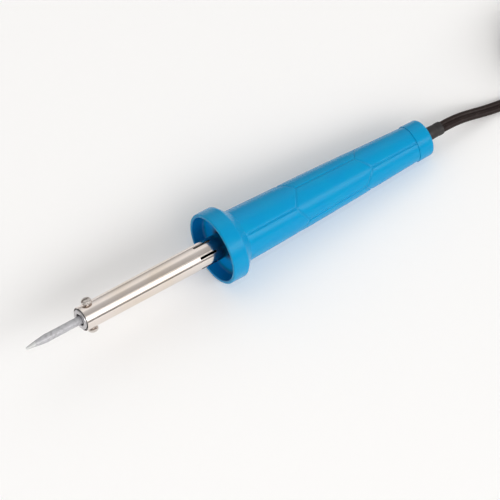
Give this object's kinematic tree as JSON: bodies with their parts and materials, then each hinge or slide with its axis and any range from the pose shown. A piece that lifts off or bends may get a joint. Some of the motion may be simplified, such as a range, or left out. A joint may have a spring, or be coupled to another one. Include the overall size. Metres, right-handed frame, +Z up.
{
  "type": "soldering iron",
  "caption": "Mains soldering iron: pointed bit clamped in a slotted nickel barrel, blue tapered handle with cup-shaped heat guard, flat cord folded in a tied hank, two-blade plug.",
  "frame": {"origin": "on the bench, under the middle of the iron's own box, which runs from the point of the bit to the end of the strain relief", "axes": "+X from the bit towards the handle along the bench, +Z up; the tool's axis dips 4.56 degrees towards the handle's end, because the guard is wider than the rear cap"},
  "size_m": [0.4425, 0.0571, 0.0405],
  "materials": {
    "bit_plating": "dull light grey iron plating, bright tinned at the point",
    "turned_steel": "turned light grey steel",
    "screw_steel": "nickel-plated screw steel",
    "barrel_nickel": "satin warm-grey nickel plate",
    "heater_steel": "heat-blued steel",
    "mica": "amber mica sheet",
    "resistance_wire": "oxidised resistance wire",
    "ceramic": "unglazed white steatite",
    "pressed_fibre": "pressed heat-proof fibre",
    "brass": "turned brass",
    "handle_plastic": "semi-gloss moulded bright blue plastic",
    "glass_sleeving": "varnished braided glass sleeving",
    "core_insulation": "smooth core insulation",
    "cord_jacket": "semi-matte near-black flexible jacket",
    "clamp_plastic": "moulded dark plastic",
    "boot_rubber": "semi-matte near-black moulded rubber",
    "tie_plastic": "black woven strap",
    "plug_plastic": "satin near-black moulding",
    "blade_nickel": "bright nickel plate"
  },
  "bodies": {
    "iron": {"bit_collar": "turned_steel", "barrel": "barrel_nickel", "handle": "handle_plastic", "rear_cap": "handle_plastic", "cord_boot": "boot_rubber", "cord": "cord_jacket", "cord_hank": "cord_jacket", "hank_tie": "tie_plastic", "plug_body": "plug_plastic", "plug_blades": "blade_nickel", "heater_core": "heater_steel", "inner_mica": "mica", "heater_winding": "resistance_wire", "outer_mica": "mica", "heater_shell": "heater_steel", "ceramic_discs": "ceramic", "ceramic_beads": "ceramic", "heater_leads": "resistance_wire", "heat_washer": "pressed_fibre", "ring_nut": "brass", "wire_crimps": "brass", "crimp_sleeves": "glass_sleeving", "cord_cores": "core_insulation", "cord_tail": "cord_jacket", "cord_clamp": "clamp_plastic", "cord_clamp_screws": "screw_steel"},
    "bit": {"tip": "bit_plating"},
    "upper_screw": {"clamp_screw_upper": "screw_steel"},
    "lower_screw": {"clamp_screw_lower": "screw_steel"}
  },
  "joints": [
    {"name": "bit_slide", "type": "slide", "parent": "iron", "child": "bit", "axis": [-0.9968, 0, 0.0795], "range_m": [0, 0.044]},
    {"name": "upper_screw_turn", "type": "hinge", "parent": "iron", "child": "upper_screw", "pos_m": [-0.09092, 0.00369, 0.03384], "axis": [0.0705, 0.4617, 0.8842], "range_deg": [0, 630]},
    {"name": "lower_screw_turn", "type": "hinge", "parent": "iron", "child": "lower_screw", "pos_m": [-0.09205, -0.00369, 0.01969], "axis": [-0.0705, -0.4617, -0.8842], "range_deg": [0, 630]}
  ]
}
